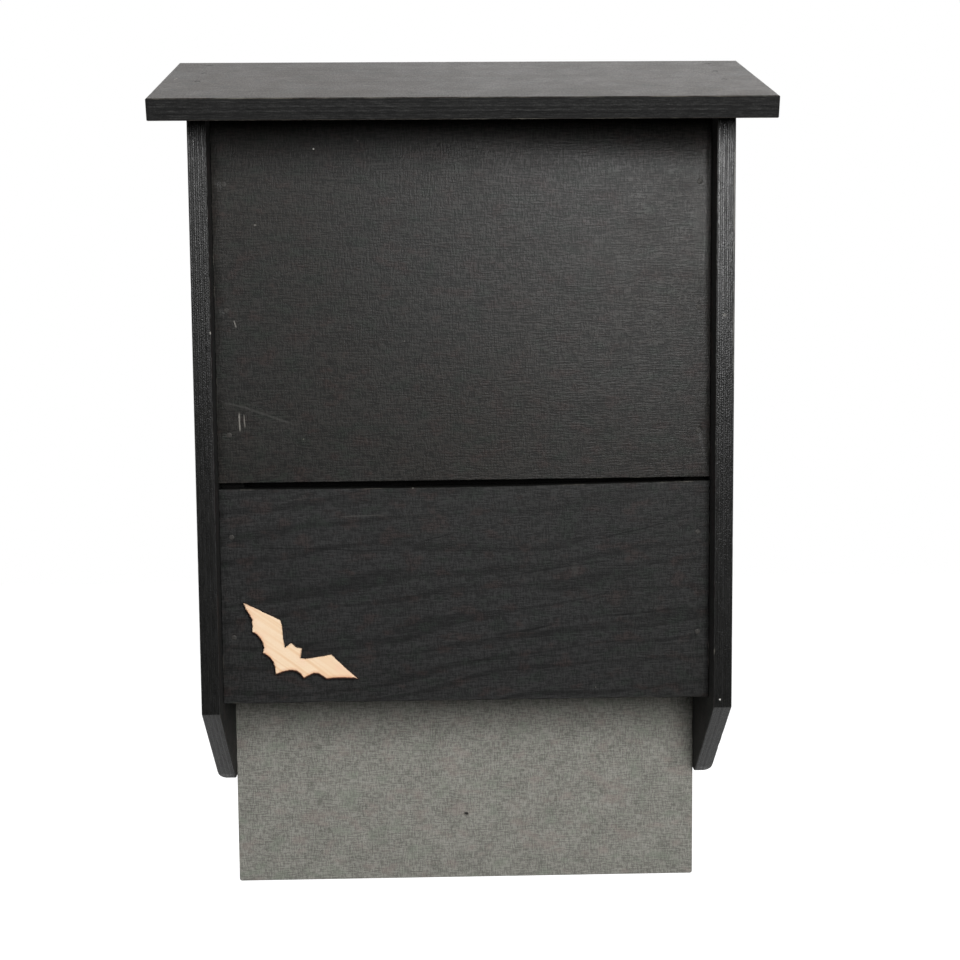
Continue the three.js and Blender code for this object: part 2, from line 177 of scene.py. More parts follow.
def rgb(red, green, blue):
    # A colour as it looks on screen, 0 to 255, made linear
    def linear(value):
        share = value / 255
        return share / 12.92 if share <= 0.04045 else ((share + 0.055) / 1.055) ** 2.4
    return (linear(red), linear(green), linear(blue), 1.0)


def linkedObject(name, mesh):
    made = bpy.data.objects.new(name, mesh)
    scene.collection.objects.link(made)
    return made


def mergedCopy(node, name):
    # A solid's mesh with its doubled corners merged and the edges inside its flat faces gone
    mesh = nodes[node].data.copy()
    mesh.name = name
    mesh.materials.clear()
    shape = bmesh.new()
    shape.from_mesh(mesh)
    bmesh.ops.remove_doubles(shape, verts=shape.verts, dist=weld)
    bmesh.ops.dissolve_limit(
        shape, angle_limit=coplanar, verts=shape.verts, edges=shape.edges, delimit={"NORMAL"})
    shape.normal_update()
    return mesh, shape


def closeShape(shape, mesh):
    shape.to_mesh(mesh)
    shape.free()
    return mesh


def setValues(mesh, label, domain, values):
    mesh.attributes.new(label, "FLOAT", domain).data.foreach_set("value", values)


def madePlain(piece):
    # The piece with its modifiers turned into plain mesh
    plain = bpy.data.meshes.new_from_object(piece.evaluated_get(bpy.context.evaluated_depsgraph_get()))
    piece.modifiers.clear()
    piece.data = plain
    return plain


def smoothed(mesh, sharpAngle):
    mesh.shade_smooth()
    mesh.set_sharp_from_angle(angle=sharpAngle)


# Shader groups, each used by several finishes

def seeded(tree, vector, seed):
    # Moved off by the seed, so that each board has a figure of its own
    return vectorOf(tree, "MULTIPLY_ADD", seed, (1.0, 1.7, 2.3), vector)


def seededNoise(tree, start, vector, scale, detail, seedStep, roughness):
    place = seeded(tree, vector, plus(tree, start["Seed"], seedStep))
    return noiseOf(tree, place, scale, detail, roughness)


# Wood grain. Each noise has its scale along and across the grain, detail, step of the seed and roughness

grainShape = {
    "drift": (4.5, 11.0, 1.0), "bands": (7.0, 60.0, 2.0, 3.0, 0.5), "bandReach": 2.2, "figure": (0.35, 1.0),
    "streaks": (14.0, 420.0, 4.0, 7.0, 0.6), "fibres": (160.0, 1500.0, 3.0, 11.0, 0.65), "density": 70.0,
}


def buildGrainGroup():
    # Wood figure on a board whose x runs with the grain and y across it
    tree, start = newGroup("woodGrain", Rise=0.0, Wander=0.012, Seed=0.0)
    parts = addNode(tree, "ShaderNodeSeparateXYZ", {0: start["Vector"]}).outputs
    slow = vectorOf(tree, "MULTIPLY", start["Vector"], grainShape["drift"])
    drift = noiseOf(tree, seeded(tree, slow, start["Seed"]), 1.0, 2.0, 0.45)
    across = timesPlus(tree, minus(tree, drift, 0.5), start["Wander"], parts["Y"])
    across = timesPlus(tree, parts["X"], start["Rise"], across)

    def stretched(along, acrossScale, detail, seedStep, roughness):
        vector = addNode(tree, "ShaderNodeCombineXYZ", {
            "X": times(tree, parts["X"], along), "Y": times(tree, across, acrossScale),
            "Z": times(tree, parts["Z"], acrossScale)}).outputs[0]
        return seededNoise(tree, start, vector, 1.0, detail, seedStep, roughness)

    bands = times(tree, across, grainShape["density"])
    bands = timesPlus(tree, stretched(*grainShape["bands"]), grainShape["bandReach"], bands)
    wave = mathOf(tree, "SINE", times(tree, bands, 2 * pi))
    return closeGroup(tree, Figure=ramp(tree, wave, *grainShape["figure"]),
                      Streaks=stretched(*grainShape["streaks"]), Fibres=stretched(*grainShape["fibres"]))


plyShape = {
    "thick": 1.32 * mm, "waver": 0.5 * mm, "waverScale": 40.0, "breakScale": (70.0, 70.0, 900.0),
    "breaks": (0.36, 0.62), "glue": (0.34, 0.5),
}


def buildPlyGroup():
    # The plies on a board's edge, counted through its thickness along z, each with a tone of its own
    tree, start = newGroup("plyLayers", Seed=0.0)
    height = addNode(tree, "ShaderNodeSeparateXYZ", {0: start["Vector"]}).outputs["Z"]
    waver = noiseOf(tree, seeded(tree, start["Vector"], start["Seed"]), plyShape["waverScale"], 2.0)
    depth = timesPlus(tree, minus(tree, waver, 0.5), plyShape["waver"], height)
    count = mathOf(tree, "DIVIDE", depth, plyShape["thick"])
    line = mathOf(tree, "ABSOLUTE", minus(tree, mathOf(tree, "FRACT", count), 0.5))
    stretch = vectorOf(tree, "MULTIPLY", start["Vector"], plyShape["breakScale"])
    breaks = noiseOf(tree, seeded(tree, stretch, start["Seed"]), 1.0, 2.0, 0.6)
    number = mathOf(tree, "FLOOR", count)
    chance = addNode(tree, "ShaderNodeTexWhiteNoise", {"W": plus(tree, number, start["Seed"])},
                     noise_dimensions="1D").outputs["Value"]
    turn = times(tree, mathOf(tree, "PINGPONG", number, 1.0), 0.5)
    return closeGroup(tree, Tone=timesPlus(tree, chance, 0.5, turn), Glue=ramp(tree, line, *plyShape["glue"]),
                      Breaks=ramp(tree, breaks, *plyShape["breaks"]))


# The texture's noises: stretch, detail, step of the seed, roughness

textureShape = {
    "fine": ((1.0, 1.0, 1.0), 2.0, 1.0, 0.65), "along": ((0.16, 1.1, 1.0), 1.0, 2.0, 0.5),
    "across": ((1.1, 0.2, 1.0), 1.0, 3.0, 0.5), "mottle": ((1.0, 1.0, 1.0), 3.0, 4.0, 0.55),
    "tint": ((0.6, 1.0, 1.0), 2.0, 5.0, 0.5), "fineShare": 0.3, "wovenShare": 0.35, "tooth": (0.4, 0.6),
    "mottleScale": 55.0, "tintScale": 120.0,
}


def buildTextureGroup():
    # The fine open texture of stained veneer, with soft changes of tint
    tree, start = newGroup("openTexture", Scale=950.0, Seed=0.0)

    def layerOf(label, scale):
        stretch, detail, seedStep, roughness = textureShape[label]
        vector = vectorOf(tree, "MULTIPLY", start["Vector"], stretch)
        return seededNoise(tree, start, vector, scale, detail, seedStep, roughness)

    fine, along, across = [layerOf(label, start["Scale"]) for label in ("fine", "along", "across")]
    woven = times(tree, plus(tree, along, across), textureShape["wovenShare"])
    tooth = timesPlus(tree, fine, textureShape["fineShare"], woven)
    return closeGroup(tree, Tooth=ramp(tree, tooth, *textureShape["tooth"]),
                      Mottle=layerOf("mottle", textureShape["mottleScale"]),
                      Tint=layerOf("tint", textureShape["tintScale"]))


# Wear: scale, detail, step of the seed and roughness of its noises, and the specks' size and rarity

wearShape = {
    "patches": (60.0, 4.0, 1.0, 0.6), "cloud": (9.0, 3.0, 2.0, 0.5), "fullRub": 0.8, "patchTop": 0.75,
    "speckScale": 110.0, "rare": (0.93, 0.97), "dot": (0.06, 0.03),
}


def buildWearGroup():
    # Where the stain is rubbed thin along the arrises, and the dust and specks of use
    tree, start = newGroup("handling", Arris=0.0, Rub=0.5, Seed=0.0)
    patches, cloud = [
        seededNoise(tree, start, start["Vector"], *wearShape[label]) for label in ("patches", "cloud")]
    rubbed = ramp(tree, patches, minus(tree, wearShape["fullRub"], start["Rub"]), wearShape["patchTop"])
    cells = addNode(tree, "ShaderNodeTexVoronoi", {
        "Vector": seeded(tree, start["Vector"], start["Seed"]), "Scale": wearShape["speckScale"]}).outputs
    chance = addNode(tree, "ShaderNodeSeparateColor", {0: cells["Color"]}).outputs[0]
    dots = ramp(tree, cells["Distance"], *wearShape["dot"])
    return closeGroup(tree, Rubbed=times(tree, rubbed, start["Arris"]), Cloud=cloud,
                      Specks=times(tree, dots, ramp(tree, chance, *wearShape["rare"])))


markSoft = (1.0, 0.3)


def buildMarkGroup():
    # One small mark, a soft ellipsoid with a centre and half sizes
    tree, start = newGroup("mark", Centre=(0.0, 0.0, 0.0), Half=(mm, mm, mm))
    offset = vectorOf(tree, "SUBTRACT", start["Vector"], start["Centre"])
    reach = vectorOf(tree, "LENGTH", vectorOf(tree, "DIVIDE", offset, start["Half"]))
    return closeGroup(tree, Mask=ramp(tree, reach, *markSoft))


strokeShape = {"waver": 3.0 * mm, "waverScale": 38.0, "soft": (1.0, 0.2), "fade": (0.0, 0.2)}


def buildStrokeGroup():
    # A thin wavering line between two points, fading at both ends
    tree, start = newGroup("stroke", Start=(0.0, 0.0, 0.0), Span=(0.01, 0.0, 0.0), Width=0.6 * mm, Seed=0.0)
    place = seeded(tree, start["Vector"], start["Seed"])
    drift = noiseOf(tree, place, strokeShape["waverScale"], 2.0, result="Color")
    centred = vectorOf(tree, "SUBTRACT", drift, (0.5, 0.5, 0.5))
    moved = vectorOf(tree, "SCALE", centred, scale=strokeShape["waver"])
    point = vectorOf(tree, "ADD", start["Vector"], moved)
    offset = vectorOf(tree, "SUBTRACT", point, start["Start"])
    whole = vectorOf(tree, "DOT_PRODUCT", start["Span"], start["Span"])
    along = mathOf(tree, "DIVIDE", vectorOf(tree, "DOT_PRODUCT", offset, start["Span"]), whole, clamp=True)
    nearest = vectorOf(tree, "SCALE", start["Span"], scale=along)
    away = vectorOf(tree, "DISTANCE", offset, nearest)
    line = ramp(tree, mathOf(tree, "DIVIDE", away, start["Width"]), *strokeShape["soft"])
    fade = ramp(tree, mathOf(tree, "PINGPONG", along, 0.5), *strokeShape["fade"])
    return closeGroup(tree, Mask=times(tree, line, fade))


grainGroup = buildGrainGroup()
plyGroup = buildPlyGroup()
textureGroup = buildTextureGroup()
wearGroup = buildWearGroup()
markGroup = buildMarkGroup()
strokeGroup = buildStrokeGroup()


def tinted(tree, colour, tint, look):
    # Soft patches of a redder and of a greener tint
    for name in ("red", "green"):
        colour = laidOver(tree, colour, ramp(tree, tint, *look[name + "Band"]), look["tintDepth"], look[name])
    return colour


# Stained plywood: one finish function, one dictionary for each board

def stainedPly(name, look):
    material, tree, shader = newMaterial(name)
    place = placeOf(tree)
    board = turnedBy(tree, place, look["turn"])
    edge, arris = attributesOf(tree, "edge", "arris")
    grain = useGroup(tree, grainGroup, board, Rise=look["rise"], Wander=look["wander"], Seed=look["seed"])
    plies = useGroup(tree, plyGroup, board, Seed=look["seed"])
    texture = useGroup(tree, textureGroup, board, Seed=look["seed"])
    wear = useGroup(tree, wearGroup, place, Arris=arris, Rub=look["rub"], Seed=look["seed"])

    depth = times(tree, grain["Figure"], look["figureDepth"])
    depth = timesPlus(tree, ramp(tree, grain["Streaks"], *look["grainBand"]), look["streakDepth"], depth)
    depth = timesPlus(tree, ramp(tree, grain["Fibres"], *look["grainBand"]), look["fibreDepth"], depth)
    face = mixColour(tree, depth, look["pale"], look["dark"])
    cloud = ramp(tree, wear["Cloud"], *look["cloudBand"])
    face = laidOver(tree, face, cloud, look["cloudDepth"], look["warm"])
    face = tinted(tree, face, texture["Tint"], look)

    side = mixColour(tree, ramp(tree, grain["Fibres"], *look["edgeBand"]), look["edgePale"], look["edgeDark"])
    layers = times(tree, plies["Tone"], timesPlus(tree, plies["Breaks"], 0.6, 0.4))
    side = laidOver(tree, side, layers, look["toneDepth"], look["edgeLine"])
    side = laidOver(tree, side, plies["Glue"], look["glueDepth"], look["glue"])
    colour = mixColour(tree, edge, face, side)
    colour = laidOver(tree, colour, texture["Tooth"], look["toothDepth"], look["pit"])
    colour = mixColour(tree, wear["Rubbed"], colour, look["rubbed"])
    colour = laidOver(tree, colour, wear["Specks"], look["speckDepth"], look["speck"])
    for centre, half, tint, strength in look["marks"]:
        size = tuple(length * mm for length in half)
        mask = useGroup(tree, markGroup, place, Centre=look["plane"](*centre), Half=size)["Mask"]
        colour = laidOver(tree, colour, mask, strength, tint)
    sheen = times(tree, texture["Tooth"], look["toothRough"])
    for number, (first, last, width, tint, strength) in enumerate(look["strokes"]):
        begin, finish = look["plane"](*first), look["plane"](*last)
        span = tuple(b - a for a, b in zip(begin, finish))
        mask = useGroup(tree, strokeGroup, place, Start=begin, Span=span, Width=width * mm, Seed=float(number))
        mask = times(tree, mask["Mask"], strength)
        colour = mixColour(tree, mask, colour, tint)
        sheen = timesPlus(tree, mask, look["strokeRough"], sheen)

    rough = addNode(tree, "ShaderNodeMapRange", {
        "Value": edge, "To Min": look["rough"], "To Max": look["edgeRough"]}).outputs["Result"]
    rough = timesPlus(tree, grain["Streaks"], look["roughSpread"], rough)
    rough = timesPlus(tree, ramp(tree, texture["Mottle"], *look["mottleBand"]), look["mottleRough"], rough)
    rough = timesPlus(tree, times(tree, layers, edge), look["lineRough"], rough)
    rough = timesPlus(tree, arris, look["arrisRough"], rough)
    setFinish(tree, shader, colour, plus(tree, rough, sheen))
    relief = timesPlus(tree, grain["Streaks"], 0.5, grain["Fibres"])
    relief = timesPlus(tree, texture["Tooth"], -1.0, relief)
    lines = timesPlus(tree, plies["Glue"], -1.0, times(tree, layers, -0.6))
    relief = timesPlus(tree, lines, edge, relief)
    setRelief(tree, shader, relief, look["relief"], look["reliefDepth"])
    shader.inputs["Specular IOR Level"].default_value = look["gloss"]
    return material


flatPanel = (radians(-90), 0.0, 0.0)
uprightSide = (0.0, radians(90), 0.0)
slopedRoof = (-roofPitch, 0.0, 0.0)
roofSeat = {"front": -95 * mm, "level": 240 * mm, "thick": 13.1 * mm}


def onPanel(x, z, y=-77):
    return (x * mm, y * mm, z * mm)


def onCheek(x, z, y=-95):
    return (x * mm, y * mm, z * mm)


def onRoof(x, upSlope):
    # A point of the roof's top, from the middle of its front edge
    back = roofSeat["front"] + upSlope * mm * cos(roofPitch) - roofSeat["thick"] * sin(roofPitch)
    level = roofSeat["level"] + upSlope * mm * sin(roofPitch) + roofSeat["thick"] * cos(roofPitch)
    return (x * mm, back, level)


# In mm on the plane: marks are centre, half size, colour, strength; strokes two ends, width, colour, strength

stainLook = {
    "turn": flatPanel, "plane": onPanel, "rise": 0.0, "wander": 0.03, "seed": 1.0, "rub": 0.3,
    "pale": rgb(51, 50, 48), "dark": rgb(34, 34, 33), "warm": rgb(45, 41, 37),
    "red": rgb(54, 44, 42), "green": rgb(40, 46, 41), "tintDepth": 0.5,
    "figureDepth": 0.3, "streakDepth": 0.35, "fibreDepth": 0.35, "cloudDepth": 0.4,
    "grainBand": (0.35, 0.7), "cloudBand": (0.35, 0.68), "redBand": (0.54, 0.7), "greenBand": (0.46, 0.3),
    "edgeBand": (0.3, 0.7), "mottleBand": (0.35, 0.65),
    "pit": rgb(16, 16, 16), "toothDepth": 0.7, "toothRough": 0.06,
    "edgePale": rgb(42, 42, 40), "edgeDark": rgb(33, 33, 32), "edgeLine": rgb(14, 14, 14),
    "glue": rgb(5, 5, 5), "toneDepth": 0.8, "glueDepth": 0.4,
    "rubbed": rgb(96, 93, 86), "speck": rgb(130, 126, 118), "speckDepth": 0.4,
    "rough": 0.27, "edgeRough": 0.27, "roughSpread": 0.06, "mottleRough": 0.04, "lineRough": 0.2,
    "arrisRough": 0.2, "strokeRough": 0.12, "relief": 0.35, "reliefDepth": 0.15 * mm, "gloss": 0.13,
    "marks": [], "strokes": [],
}

paleStreakAndSheen, darkTint, chalk, arrisWearAndHighlight = rgb(66, 65, 63), rgb(12, 12, 12), rgb(150, 147, 140), rgb(122, 121, 116)
upperLook = {
    **stainLook, "seed": 4.0, "figureDepth": 0.12,
    "marks": [
        # Painted sheen: a lighter strip down the panel's right side, beside the right cheek
        ((145.5, 180), (5, 4, 66), paleStreakAndSheen, 0.3),
        ((83, 150), (34, 4, 22), paleStreakAndSheen, 0.12),
        ((-90.7, 216.7), (0.7, 1, 0.7), rgb(225, 222, 215), 0.95),
        ((69.4, 101.3), (0.8, 1, 0.8), darkTint, 0.8),
        ((6.9, 70.6), (0.8, 1, 0.8), darkTint, 0.8),
        ((-127.2, 171), (1, 1, 0.7), chalk, 0.35),
    ],
    "strokes": [
        ((-139.5, 57), (-139, 44), 0.7, chalk, 0.6),
        ((-137, 56), (-136.3, 46), 0.6, chalk, 0.4),
        ((-141.5, 113.5), (-140, 108), 0.6, chalk, 0.5),
        ((-153, 64), (-102, 48), 1.1, paleStreakAndSheen, 0.5),
        ((-75, 207), (11, 209.5), 0.9, paleStreakAndSheen, 0.3),
        ((30, 214), (120, 211), 0.8, paleStreakAndSheen, 0.2),
        ((60, 203), (135, 199), 0.8, paleStreakAndSheen, 0.2),
        ((-120, 199), (-40, 196), 0.8, darkTint, 0.35),
    ],
}
lowerLook = {
    **stainLook, "seed": 9.0, "rise": -0.1, "wander": 0.05, "figureDepth": 0.6, "gloss": 0.12, "rough": 0.38,
    "pale": rgb(51, 51, 51), "dark": rgb(31, 31, 31), "warm": rgb(44, 44, 42),
    "strokes": [
        ((-140, -28), (-40, -32.2), 0.8, darkTint, 0.7),
        ((-30, -26.6), (-6, -20), 0.7, darkTint, 0.7),
        ((15, -87), (60, -78.5), 1.3, darkTint, 0.75),
        ((83, -75.2), (145, -69.5), 0.9, darkTint, 0.7),
        ((79.3, -26.1), (145, -11.5), 0.8, darkTint, 0.7),
        ((-80, -9.1), (-48, -9.4), 0.7, paleStreakAndSheen, 0.6),
        ((-60, -62), (20, -56), 0.8, darkTint, 0.5),
        ((10, -50), (100, -38), 0.8, darkTint, 0.5),
        ((-20, -104), (70, -98), 0.8, darkTint, 0.5),
    ],
    "marks": [
        ((68.5, -44.4), (3.2, 2, 6.5), paleStreakAndSheen, 0.35),
        ((-32.6, 8.2), (0.8, 1.5, 0.6), chalk, 0.9),
    ],
}
cheekLook = {
    **stainLook, "turn": uprightSide, "plane": onCheek, "seed": 14.0, "gloss": 0.24, "rough": 0.6,
    "edgeRough": 0.1, "lineRough": 0.22, "arrisRough": 0.02, "rub": 0.18,
    # Partly painted shade: the cheeks' faces are set darker than the panels' stain, so that their inner faces
    # beside the panels read as shaded
    "pale": rgb(30, 29, 28), "dark": rgb(20, 20, 19), "warm": rgb(27, 24, 22),
    "edgePale": rgb(42, 42, 41), "edgeDark": rgb(31, 31, 30),
    "marks": [
        ((157.6, -125.1), (0.8, 1, 0.8), rgb(205, 203, 198), 0.95),
        ((158.7, 114.1), (1.6, 1, 1.3), chalk, 0.3),
        ((-153.8, 105.8, -94.8), (0.7, 1, 1.2), chalk, 0.8),
    ],
    "strokes": [
        # Partly worn stain, partly a painted highlight: a pale line down the right cheek's outer arris,
        # stronger towards the top
        ((164.5, 226), (164.5, 140), 0.7, arrisWearAndHighlight, 0.6),
        ((164.5, 140), (164.5, 70), 0.6, arrisWearAndHighlight, 0.4),
    ],
}
roofLook = {
    **stainLook, "turn": slopedRoof, "plane": onRoof, "seed": 21.0, "rough": 0.34, "rub": 0.4, "gloss": 0.27,
    "pale": rgb(62, 54, 46), "dark": rgb(42, 37, 32), "warm": rgb(64, 52, 40),
    "edgePale": rgb(50, 50, 49), "edgeDark": rgb(8, 8, 8), "edgeRough": 0.76, "lineRough": 0.15,
    "toneDepth": 1.0, "glueDepth": 0.8,
    "strokes": [
        ((-174.5, 22), (-173, 31), 0.7, rgb(170, 166, 156), 0.7),
        ((-90, 30), (60, 34), 1.0, rgb(70, 62, 50), 0.5),
        ((40, 75), (150, 78), 1.0, rgb(66, 54, 48), 0.5),
        ((-150, 60), (-30, 64), 1.0, darkTint, 0.4),
    ],
}
# Painted shade: the spacers and partition inside the box are made near black, darker than the outer stain, to
# stand for the shade in there
insideShadeLook = {
    **stainLook, "seed": 30.0, "rub": 0.1, "rough": 0.75, "edgeRough": 0.75, "gloss": 0.15,
    "pale": rgb(20, 19, 18), "dark": rgb(11, 11, 10), "warm": rgb(16, 14, 12),
    "red": rgb(20, 16, 14), "green": rgb(14, 16, 14), "edgePale": rgb(18, 17, 16), "edgeDark": rgb(10, 10, 9),
    "rubbed": rgb(30, 28, 25),
}

upperPly = stainedPly("stainedPlyUpperPanel", upperLook)
lowerPly = stainedPly("stainedPlyLowerPanel", lowerLook)
cheekPly = stainedPly("stainedPlyCheeks", cheekLook)
roofPly = stainedPly("stainedPlyRoof", roofLook)
insideShadePly = stainedPly("plyInsidePaintedShade", insideShadeLook)


# The grey tail board: rough, finely speckled, unpainted

tailLook = {
    "pale": rgb(152, 151, 143), "dark": rgb(95, 94, 88), "grit": rgb(62, 61, 57), "edge": rgb(140, 139, 130),
    "red": rgb(140, 128, 122), "green": rgb(124, 132, 118), "redBand": (0.54, 0.72), "greenBand": (0.46, 0.28),
    "tintDepth": 0.4, "seed": 40.0, "rub": 0.5, "toothScale": 1050.0, "toothDepth": 0.7,
    "mottleBand": (0.3, 0.7), "mottleDepth": 0.2, "gritNoise": (1300.0, 2.0, 0.7), "gritBand": (0.4, 0.28),
    "gritDepth": 0.7, "plyDepth": 0.5, "rough": 0.95, "gritRough": -0.15,
    "relief": 0.5, "reliefDepth": 0.3 * mm,
}


def greyBoard(name, look):
    material, tree, shader = newMaterial(name)
    place = placeOf(tree)
    board = turnedBy(tree, place, flatPanel)
    arris, edge = attributesOf(tree, "arris", "edge")
    wear = useGroup(tree, wearGroup, place, Arris=arris, Rub=look["rub"], Seed=look["seed"])
    texture = useGroup(tree, textureGroup, board, Scale=look["toothScale"], Seed=look["seed"] + 1)
    plies = useGroup(tree, plyGroup, board, Seed=look["seed"] + 2)
    grit = noiseOf(tree, place, *look["gritNoise"])
    body = timesPlus(tree, ramp(tree, texture["Mottle"], *look["mottleBand"]), look["mottleDepth"],
                     times(tree, texture["Tooth"], look["toothDepth"]))
    colour = mixColour(tree, body, look["pale"], look["dark"])
    colour = tinted(tree, colour, texture["Tint"], look)
    colour = laidOver(tree, colour, ramp(tree, grit, *look["gritBand"]), look["gritDepth"], look["grit"])
    colour = laidOver(tree, colour, times(tree, plies["Tone"], edge), look["plyDepth"], look["grit"])
    colour = mixColour(tree, wear["Rubbed"], colour, look["edge"])
    setFinish(tree, shader, colour, timesPlus(tree, grit, look["gritRough"], look["rough"]))
    relief = timesPlus(tree, texture["Tooth"], -1.0, grit)
    setRelief(tree, shader, relief, look["relief"], look["reliefDepth"])
    return material


greyPly = greyBoard("greyRoughBoard", tailLook)


# Pale ply of the bat, scorched by the cutter towards its edges

batLook = {
    "pale": rgb(245, 219, 188), "warm": rgb(236, 201, 162), "pink": rgb(243, 199, 170),
    "scorch": rgb(214, 132, 78), "burntAndShadow": rgb(52, 28, 18), "ash": rgb(24, 15, 11),
    "rise": 0.7, "wander": 0.01, "seed": 50.0, "toothScale": 900.0, "toothDepth": 0.2,
    "streakBand": (0.4, 0.72), "mottleBand": (0.45, 0.65), "pinkDepth": 0.5, "scorchSpread": (0.8, 0.6),
    "ragged": 0.5, "rimBurnAndShadeBand": (0.22, 0.66), "rough": 0.5, "edgeRough": 0.25, "roughSpread": 0.15,
    "relief": 0.3, "reliefDepth": 0.1 * mm, "gloss": 0.3,
}


def scorchedPly(name, look):
    material, tree, shader = newMaterial(name)
    board = turnedBy(tree, placeOf(tree), flatPanel)
    edge, near, smoke = attributesOf(tree, "edge", "rim", "smoke")
    grain = useGroup(tree, grainGroup, board, Rise=look["rise"], Wander=look["wander"], Seed=look["seed"])
    texture = useGroup(tree, textureGroup, board, Scale=look["toothScale"], Seed=look["seed"] + 1)
    face = mixColour(tree, ramp(tree, grain["Streaks"], *look["streakBand"]), look["pale"], look["warm"])
    mottle = ramp(tree, texture["Mottle"], *look["mottleBand"])
    face = laidOver(tree, face, mottle, look["pinkDepth"], look["pink"])
    face = laidOver(tree, face, texture["Tooth"], look["toothDepth"], look["warm"])
    spread = timesPlus(tree, texture["Tint"], *look["scorchSpread"])
    face = laidOver(tree, face, smoke, spread, look["scorch"])
    ragged = timesPlus(tree, minus(tree, grain["Fibres"], 0.5), look["ragged"], near)
    # The dark rim along the outline: the cutter's burn, with painted shadow along the lower edges
    face = mixColour(tree, ramp(tree, ragged, *look["rimBurnAndShadeBand"]), face, look["burntAndShadow"])
    wall = mixColour(tree, grain["Fibres"], look["burntAndShadow"], look["ash"])
    rough = timesPlus(tree, edge, look["edgeRough"], look["rough"])
    rough = timesPlus(tree, grain["Streaks"], look["roughSpread"], rough)
    setFinish(tree, shader, mixColour(tree, edge, face, wall), rough)
    relief = timesPlus(tree, grain["Streaks"], 0.6, grain["Fibres"])
    setRelief(tree, shader, relief, look["relief"], look["reliefDepth"])
    shader.inputs["Specular IOR Level"].default_value = look["gloss"]
    return material


batPly = scorchedPly("paleScorchedPly", batLook)


# Steel: stained pins and zinc plated screws, each under a patchy film

steelFilm = {"noise": (900.0, 3.0, 0.6), "band": (0.4, 0.7), "roughSpread": 0.25}
steelLook = {
    "pin": {"colour": rgb(54, 52, 49), "dirt": rgb(30, 29, 27), "metal": 0.4, "rough": 0.5},
    "roofPin": {"colour": rgb(66, 62, 56), "dirt": rgb(46, 43, 39), "metal": 0.0, "rough": 0.28},
    "screw": {"colour": rgb(196, 198, 200), "dirt": rgb(120, 118, 112), "metal": 1.0, "rough": 0.32},
}


def steel(name, look):
    material, tree, shader = newMaterial(name)
    film = noiseOf(tree, placeOf(tree), *steelFilm["noise"])
    colour = mixColour(tree, ramp(tree, film, *steelFilm["band"]), look["colour"], look["dirt"])
    setFinish(tree, shader, colour, timesPlus(tree, film, steelFilm["roughSpread"], look["rough"]))
    shader.inputs["Metallic"].default_value = look["metal"]
    return material


pinSteel = steel("stainedPinSteel", steelLook["pin"])
roofPinSteel = steel("stainedRoofPinSteel", steelLook["roofPin"])
screwSteel = steel("zincScrewSteel", steelLook["screw"])
print("finishes built")


# Boards: a merged copy of each solid, its arrises worn unevenly, with attributes for the finish

boardShape = {"faceFrom": 0.95, "edgeBelow": 0.3, "sharp": radians(50)}
arrisWear = {
    "step": 3.0 * mm, "shortest": 6.0 * mm, "sameFace": 0.99, "ripple": 0.09 * mm, "rippleScale": 320.0,
    "rippleLevel": -0.3, "chip": 1.65 * mm, "chipScale": 95.0, "chipLevel": 0.42,
}
edgeShare = {"face": 0.0, "arris": 0.5, "edge": 1.0}


def faceKind(normal, through):
    # A board's face looks through its thickness, an edge looks across it, and an arris lies between them
    share = abs(normal.dot(through))
    if share > boardShape["faceFrom"]:
        return "face"
    return "edge" if share < boardShape["edgeBelow"] else "arris"


def wearArrises(shape, through, seed):
    kinds = {face: faceKind(face.normal, through) for face in shape.faces}
    borders = []
    for line in shape.edges:
        if len(line.link_faces) != 2:
            continue
        pair = [kinds[face] for face in line.link_faces]
        if pair.count("arris") == 1 and line.calc_length() > arrisWear["shortest"]:
            borders.append(line)
    moving = []
    for line in borders:
        point = line.verts[0]
        for left in range(int(line.calc_length() / arrisWear["step"]), 0, -1):
            point = bmesh.utils.edge_split(line, point, 1 / (left + 1))[1]
            moving.append(point)

    def roughness(place, scale, level):
        return max(0.0, noise.noise(place * scale) - level)

    for point in moving:
        flats = [face.normal for face in point.link_faces if kinds.get(face) != "arris"]
        slants = [face.normal for face in point.link_faces if kinds.get(face) == "arris"]
        if not flats or not slants or any(flats[0].dot(other) < arrisWear["sameFace"] for other in flats):
            continue
        flat, slant = flats[0], slants[0]
        inward = -(slant - flat * slant.dot(flat)).normalized()
        place = point.co + Vector((seed, 0.0, 0.0))
        ripple = roughness(place, arrisWear["rippleScale"], arrisWear["rippleLevel"]) * arrisWear["ripple"]
        chip = roughness(place, arrisWear["chipScale"], arrisWear["chipLevel"]) * arrisWear["chip"]
        point.co += inward * (ripple + chip)


def finishedBoard(node, material, slotName, through, seed, worn):
    mesh, shape = mergedCopy(node, node + "Finished")
    if worn:
        wearArrises(shape, through, seed)
    bmesh.ops.triangulate(shape, faces=shape.faces, quad_method="BEAUTY", ngon_method="BEAUTY")
    shape.normal_update()
    kinds = [faceKind(face.normal, through) for face in shape.faces]
    closeShape(shape, mesh)
    setValues(mesh, "edge", "FACE", [edgeShare[kind] for kind in kinds])
    setValues(mesh, "arris", "FACE", [float(kind == "arris") for kind in kinds])
    smoothed(mesh, boardShape["sharp"])
    mesh.materials.append(material)
    piece = linkedObject(node + "_finished", mesh)
    piece.modifiers.new("weighted", "WEIGHTED_NORMAL").keep_sharp = True
    madePlain(piece)
    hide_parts(node)
    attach(piece, "root")


alongX = Vector((1, 0, 0))
alongY = Vector((0, 1, 0))
alongZ = Vector((0, 0, 1))
roofNormal = Vector((0, -sin(roofPitch), cos(roofPitch)))

